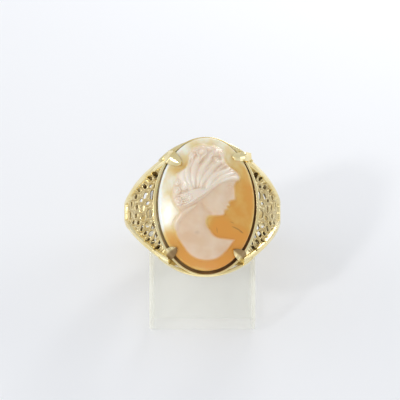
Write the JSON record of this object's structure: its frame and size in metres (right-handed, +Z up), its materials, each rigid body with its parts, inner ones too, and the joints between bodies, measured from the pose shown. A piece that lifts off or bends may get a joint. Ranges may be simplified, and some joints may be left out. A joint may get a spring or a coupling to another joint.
{
  "type": "cameo ring on a clear display stand",
  "caption": "Oval shell cameo with a raised bust in a claw-set gold ring with pierced shoulders, worn on the tongue of a clear bent display stand.",
  "frame": {"origin": "middle of the stand's foot, on the surface that it stands on", "axes": "+Z up, +X to the right across the ring, -Y to the front, where the cameo faces upwards and forwards"},
  "size_m": [0.0211, 0.023, 0.0249],
  "materials": {
    "gold": "polished, worn",
    "shell": "polished carved shell",
    "acrylic": "clear, polished"
  },
  "bodies": {
    "root": {"gold_mount": "gold", "cameo": "shell", "display_stand": "acrylic"}
  },
  "joints": []
}
